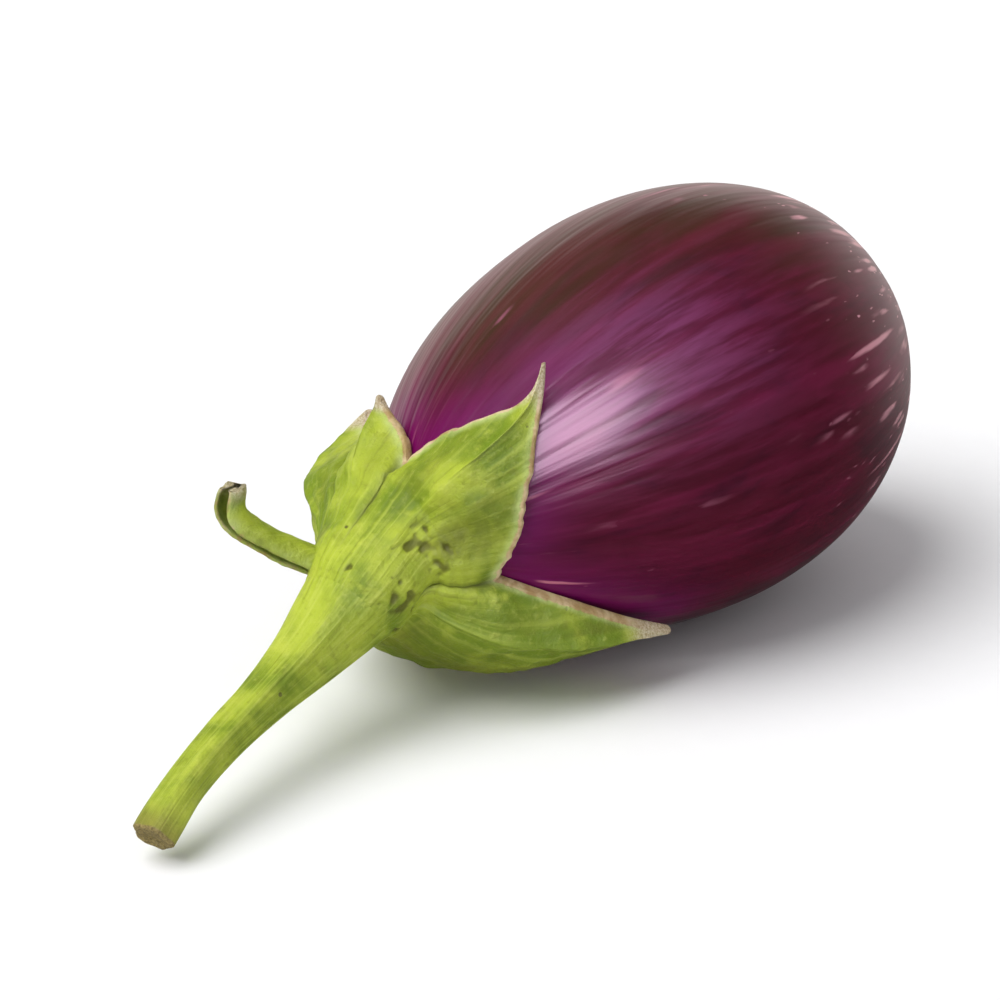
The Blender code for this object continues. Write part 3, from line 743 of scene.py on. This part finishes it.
margin = blank.copy()
margin[first_blade:first_rim] = np.exp(-(edge - blade_polar) * HALF_LENGTH / DRY_EDGE_WIDTH)
margin[first_rim:first_under] = 1
margin[first_under:] = np.exp(-(edge - under_polar) * HALF_LENGTH / DRY_UNDERSIDE_WIDTH)
tipward = blank.copy()
tipward[first_blade:first_rim] = past_notch(blade_polar)
tipward[first_rim:first_under] = tipward[first_rim - 1]
tipward[first_under:] = past_notch(under_polar)
# Darker green in the notches between the lobes and down the flare below them: painted shade in the creases.
notch_crease_shade = 0.55 * peak(to_notch, 0, 0.13) + 0.45 * peak(to_notch, 0, 0.035)
painted_crease_shade = blank.copy()
painted_crease_shade[COLLAR_ROWS:first_blade] = notch_crease_shade * ease(flare_share * 1.3)
painted_crease_shade[first_blade:first_rim] = notch_crease_shade
# One flank of each lobe tinted olive, most on the lobes that turn from the light: painted shade.
flank_shade = peak(across, 0.50, 0.30) * FAR_FLANK_PAINTED_SHADE[lobe]
flank_shade = flank_shade + peak(across, -0.40, 0.26) * NEAR_FLANK_PAINTED_SHADE[lobe]
painted_flank_shade = blank.copy()
painted_flank_shade[COLLAR_ROWS:first_blade] = flank_shade * ease(flare_share * 1.2 - 0.5)
painted_flank_shade[first_blade:first_rim] = flank_shade * np.sin(np.pi * (0.35 + 0.55 * blade_share))
down_rows = np.concatenate([way_down, np.full(RIM_ROWS, 2.0), 2 * under_share[:, 0]])[:, None]
mark(calyx, "margin", margin, 0, 0)
mark(calyx, "dry", ease((tipward - 0.74) / 0.14), 0, 0)
mark(calyx, "painted_crease_shade", painted_crease_shade, 0, 0)
mark(calyx, "pit_dents_and_shade", pit_dents_and_shade, 0, 0)
mark(calyx, "painted_flank_shade", painted_flank_shade, 0, 0)
mark(calyx, "lines", wrapped(lobe_side, 0.35 * down_rows), (1, 0, 0), (1, 0, 0))

CALYX_PALE_VEIN = (0.550, 0.620, 0.100, 1)
CALYX_DARK_VEIN = (0.150, 0.185, 0.010, 1)
FLANK_SHADE_OLIVE = (0.145, 0.165, 0.012, 1)
CREASE_SHADE_GREEN = (0.120, 0.150, 0.014, 1)
PIT_SHADE_OLIVE = (0.100, 0.100, 0.010, 1)
INNER_EDGE_GREEN = (0.530, 0.610, 0.230, 1)
DARK_EDGE = (0.42, 0.225, 0.110, 1)
PINKISH_EDGE = (0.70, 0.50, 0.33, 1)
DARK_DRY_TIP = (0.40, 0.30, 0.17, 1)
LIGHT_DRY_TIP = (0.66, 0.58, 0.42, 1)

calyx_rind, colour, height, pattern = green_flesh("green_calyx_rind")
tree = calyx_rind.node_tree
veins = clouds(tree, stretched(tree, stored(tree, "lines", "Vector"), (9, 9, 1.1)), 1.5, 4.0, 0.6, 0.3)
colour = tinted(tree, spread(tree, veins, 0.48, 0.72, 0, 0.45), colour, CALYX_PALE_VEIN)
colour = tinted(tree, spread(tree, veins, 0.46, 0.28, 0, 0.50), colour, CALYX_DARK_VEIN)
# Painted shade: the lobes' shaded flanks tinted olive.
in_painted_flank_shade = times(tree, stored(tree, "painted_flank_shade"), spread(tree, pattern["mottle"], 0.30, 0.65, 0.35, 0.9))
colour = tinted(tree, in_painted_flank_shade, colour, FLANK_SHADE_OLIVE)
# Painted shade in the notch creases and inside the rolled sepal.
colour = tinted(tree, spread(tree, stored(tree, "painted_crease_shade"), 0.05, 1.0, 0.0, 0.85), colour, CREASE_SHADE_GREEN)
# The pits' darker olive is painted shade in the dents.
colour = tinted(tree, spread(tree, stored(tree, "pit_dents_and_shade"), 0.10, 0.80, 0.0, 0.80), colour, PIT_SHADE_OLIVE)
to_edge = stored(tree, "margin")
inner_edge = spread(tree, maths(tree, "POWER", to_edge, 0.26), 0.25, 0.80)
inner_edge = times(tree, inner_edge, spread(tree, pattern["mottle"], 0.35, 0.65, 0.25, 0.75))
colour = tinted(tree, inner_edge, colour, INNER_EDGE_GREEN)
edge_colour = tinted(tree, spread(tree, pattern["mottle"], 0.40, 0.62), DARK_EDGE, PINKISH_EDGE)
ragged_edge = plus(tree, to_edge, spread(tree, pattern["small"], 0.3, 0.7, -0.30, 0.22))
colour = tinted(tree, times(tree, spread(tree, ragged_edge, 0.30, 0.90), 0.80), colour, edge_colour)
dry_colour = tinted(tree, spread(tree, pattern["grain"], 0.35, 0.65), DARK_DRY_TIP, LIGHT_DRY_TIP)
colour = tinted(tree, times(tree, stored(tree, "dry"), 0.9), colour, dry_colour)
height = plus(tree, height, times(tree, veins, 0.9))
finish_flesh(calyx_rind, colour, height, pattern["grain"], 0.60, 0.00035, (0.48, 0.66))
calyx.data.materials.append(calyx_rind)
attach(calyx, "root")
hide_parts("calyx")

rim_points = laid_down(outer[-1])
rim_tree = KDTree(len(rim_points))
for number, point in enumerate(rim_points):
    rim_tree.insert(point, number)
rim_tree.balance()
off_rim = np.full(fruit_polar.shape, FAR_OFF)
near_cap = fruit_polar < math.radians(95)
off_rim[near_cap] = [rim_tree.find(point)[2] for point in fruit_points[near_cap]]
mark(fruit, "by_calyx", np.exp(-((off_rim / SHADE_REACH) ** 1.4)), 1, 0)


# The rolled sepal: one narrow extra lobe of the calyx that rolled up into a channel as it dried.
# It is thin and leathery, grows out of the neck and curls up and away from the fruit.

ROLLED_ROUTE = [
    (0.0050, 0.0030, 0.0020), (-0.0010, 0.0055, 0.0043), (-0.0079, 0.0090, 0.0110), (-0.0075, 0.0096, 0.0151),
]
ROLLED_FACING = np.array([-0.88, -0.12, -0.30])
ROLLED_RADIUS = 0.0019
ROLLED_THICKNESS = 0.00055
ROLLED_WRINKLE = 0.00009
ROLLED_LUMP = 0.00014
ROLLED_NIBBLE = 0.00035
ROLLED_ROWS = 90
NIBBLED_ROWS = 8
WALL_COLUMNS = 22


def rolled_line(share):
    """A point on a smooth curve through the route's points, and its direction there."""
    route = [NECK + point for point in ROLLED_ROUTE]
    last = len(route) - 1
    spot = min(max(share, 0.0), 1.0) * last
    start = min(int(spot), last - 1)
    part = spot - start
    before, first = route[max(start - 1, 0)], route[start]
    second, after = route[start + 1], route[min(start + 2, last)]
    pull_first, pull_second = (second - before) / 2, (after - first) / 2
    left = 1 - part
    point = first * (left**2 * (1 + 2 * part)) + second * (part**2 * (3 - 2 * part))
    point = point + pull_first * (part * left**2) - pull_second * (part**2 * left)
    run = (second - first) * (6 * part * left)
    run = run + pull_first * (left * (1 - 3 * part)) + pull_second * (part * (3 * part - 2))
    return point, run / np.linalg.norm(run)


rolled_rings = []
for row in range(ROLLED_ROWS):
    share = row / (ROLLED_ROWS - 1)
    centre, direction = rolled_line(share)
    level = np.cross(direction, ROLLED_FACING)
    level = level / np.linalg.norm(level)
    facing_way = np.cross(level, direction)
    radius = ROLLED_RADIUS * (1.12 - 0.30 * share)
    opening = 0.52 + 0.18 * math.sin(3.0 * share + 0.5)
    turns = np.linspace(opening, 2 * np.pi - opening, WALL_COLUMNS)
    waist = 1 + 0.05 * math.sin(9 * share + 1.0)
    thick = ROLLED_THICKNESS * (1 - 0.35 * share)
    wall = [(turn, radius * waist) for turn in turns]
    wall += [(turn, radius * waist - thick) for turn in turns[::-1]]
    out_ways = [facing_way * math.cos(turn) + level * math.sin(turn) for turn, out in wall]
    rolled_rings.append([centre + way * out for way, (turn, out) in zip(out_ways, wall)])
rolled_rings = np.array(rolled_rings)
wrinkle = uneven(rolled_rings, 0.0011, 31) * ROLLED_WRINKLE + uneven(rolled_rings, 0.0026, 32) * ROLLED_LUMP
from_middle = rolled_rings - rolled_rings.mean(axis=1, keepdims=True)
rolled_rings += from_middle / ROLLED_RADIUS * wrinkle[..., None]
tip_nibble = uneven(rolled_rings[-1], 0.0009, 33)
rolled_tip_way = rolled_line(1.0)[1]
for back in range(NIBBLED_ROWS):
    fade = (1 - back / NIBBLED_ROWS) ** 2
    rolled_rings[-1 - back] += rolled_tip_way * (ROLLED_NIBBLE * tip_nibble * fade)[:, None]
wall_start = (rolled_rings[0, WALL_COLUMNS // 2] + rolled_rings[0, -WALL_COLUMNS // 2]) / 2
wall_end = (rolled_rings[-1, WALL_COLUMNS // 2] + rolled_rings[-1, -WALL_COLUMNS // 2]) / 2
rolled = grown_piece("rolled_sepal", laid_down(rolled_rings), laid_down(wall_start), laid_down(wall_end))
wall_column = np.arange(WALL_COLUMNS)
from_lip = np.minimum(wall_column, WALL_COLUMNS - 1 - wall_column) / (WALL_COLUMNS / 2)
lips = np.exp(-np.concatenate([from_lip, from_lip]) / 0.10)
inside = np.concatenate([np.zeros(WALL_COLUMNS), np.ones(WALL_COLUMNS)])
rolled_share = np.linspace(0, 1, ROLLED_ROWS)[:, None]
mark(rolled, "margin", lips[None, :] * 0.55 + 0 * rolled_share, 0, 0)
mark(rolled, "dry", ease((rolled_share - 0.80) / 0.25) + 0 * lips[None, :], 0, 1)
# The inside of the roll is darkened: painted shade in the channel.
mark(rolled, "painted_crease_shade", 0.6 * inside[None, :] + 0 * rolled_share, 0, 0)
mark(rolled, "lines", rolled_rings * [0, 300, 300] + [0, 0, 7], (0, 0, 7), (0, 0, 7))
rolled.data.materials.append(calyx_rind)
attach(rolled, "root")
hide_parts("calyx")


# The floor: a plain matt white studio sweep, wide enough to fill every view.
# The glossy skin doesn't mirror it.

FLOOR_SIZE = 6.0
WHITE_PAPER = (0.88, 0.88, 0.885, 1)
WHITER_PAPER = (0.90, 0.90, 0.905, 1)

bpy.ops.mesh.primitive_plane_add(size=FLOOR_SIZE, location=(0, 0, 0))
floor = bpy.context.object
floor.name = "studio_floor"
floor.visible_glossy = False
sweep = bpy.data.materials.new("white_sweep")
sweep.use_nodes = True
tree = sweep.node_tree
shader = tree.nodes["Principled BSDF"]
paper = clouds(tree, put(tree, "ShaderNodeTexCoord", {}).outputs["Object"], 300.0, 2.0)
tree.links.new(tinted(tree, paper, WHITE_PAPER, WHITER_PAPER), shader.inputs["Base Color"])
shader.inputs["Roughness"].default_value = 0.9
shader.inputs["Specular IOR Level"].default_value = 0.1
floor.data.materials.append(sweep)


# The light: a softbox in front draws the long gloss on the skin, and a broad lamp above lights its colours.
# Both stand in a pale room. The skin mirrors it as dark, with a bright band low down behind the eggplant.

LIT_SPOT = Vector((-0.015, -0.005, 0.025))
SOFTBOX_WAY = (-0.47, -0.61, 0.64)
SOFTBOX_DISTANCE = 0.70
SOFTBOX_SIZE = (0.46, 0.42)
SOFTBOX_WATTS = 10.6
SKY_WAY = (-0.50, 0.16, 0.85)
SKY_STRENGTH = 2.8
SKY_ANGLE = math.radians(50)
ROOM_GREY = (0.45, 0.45, 0.46, 1)
MIRRORED_DARK = (0.054, 0.054, 0.058, 1)
MIRRORED_BAND = (1.00, 0.86, 0.83, 1)
BACKDROP_WHITE = (1.0, 1.0, 1.0, 1)


def aimed(name, lamp, way, distance=0.0):
    """Hangs a lamp in this direction from the eggplant, facing it. A sun lamp needs no distance."""
    holder = bpy.data.objects.new(name, lamp)
    way = Vector(way).normalized()
    holder.location = LIT_SPOT + way * distance
    holder.rotation_mode = "QUATERNION"
    holder.rotation_quaternion = way.to_track_quat("Z", "Y")
    bpy.context.scene.collection.objects.link(holder)
    return holder


softbox = bpy.data.lights.new("gloss_softbox", "AREA")
softbox.shape = "RECTANGLE"
softbox.size, softbox.size_y = SOFTBOX_SIZE
softbox.energy = SOFTBOX_WATTS
softbox.color = (1.0, 0.97, 0.99)
aimed("gloss_softbox", softbox, SOFTBOX_WAY, SOFTBOX_DISTANCE).visible_diffuse = False
sky = bpy.data.lights.new("sky_panel", "SUN")
sky.energy = SKY_STRENGTH
sky.angle = SKY_ANGLE
aimed("sky_panel", sky, SKY_WAY).visible_glossy = False

world = bpy.data.worlds.new("pale_room")
world.use_nodes = True
tree = world.node_tree
room = tree.nodes["Background"]
rays_seen = put(tree, "ShaderNodeLightPath", {}).outputs
out_there = put(tree, "ShaderNodeTexCoord", {}).outputs["Generated"]
outlook = put(tree, "ShaderNodeSeparateXYZ", {0: out_there}).outputs
upward = outlook["Z"]
away = plus(tree, times(tree, outlook["X"], 0.68), times(tree, outlook["Y"], 0.73))
band = times(tree, spread(tree, upward, -0.62, -0.08), spread(tree, upward, 0.60, 0.20))
band = times(tree, band, spread(tree, away, 0.10, 0.70))
mirrored = tinted(tree, band, MIRRORED_DARK, MIRRORED_BAND)
lit = tinted(tree, rays_seen["Is Glossy Ray"], ROOM_GREY, mirrored)
lit = tinted(tree, rays_seen["Is Camera Ray"], lit, BACKDROP_WHITE)
tree.links.new(lit, room.inputs["Color"])
room.inputs["Strength"].default_value = 1.0
bpy.context.scene.world = world
bpy.context.scene.view_settings.view_transform = "Standard"


# The camera: the photograph's angle, from the stem end's side and 25 degrees up.
# A long lens from half a metre away keeps the eggplant's proportions.

CAMERA_TURN = math.radians(-43)
CAMERA_RISE = math.radians(25)
CAMERA_DISTANCE = 0.52
AIM = Vector((-0.0255, -0.0010, 0.0215))

lens = bpy.data.cameras.new("camera")
lens.sensor_width = 36
lens.lens = 160
lens.clip_start = 0.01
camera = bpy.data.objects.new("camera", lens)
level = math.cos(CAMERA_RISE)
back = Vector((math.sin(CAMERA_TURN) * level, -math.cos(CAMERA_TURN) * level, math.sin(CAMERA_RISE)))
camera.location = AIM + back * CAMERA_DISTANCE
camera.rotation_mode = "QUATERNION"
camera.rotation_quaternion = (-back).to_track_quat("-Z", "Y")
bpy.context.scene.collection.objects.link(camera)
bpy.context.scene.camera = camera
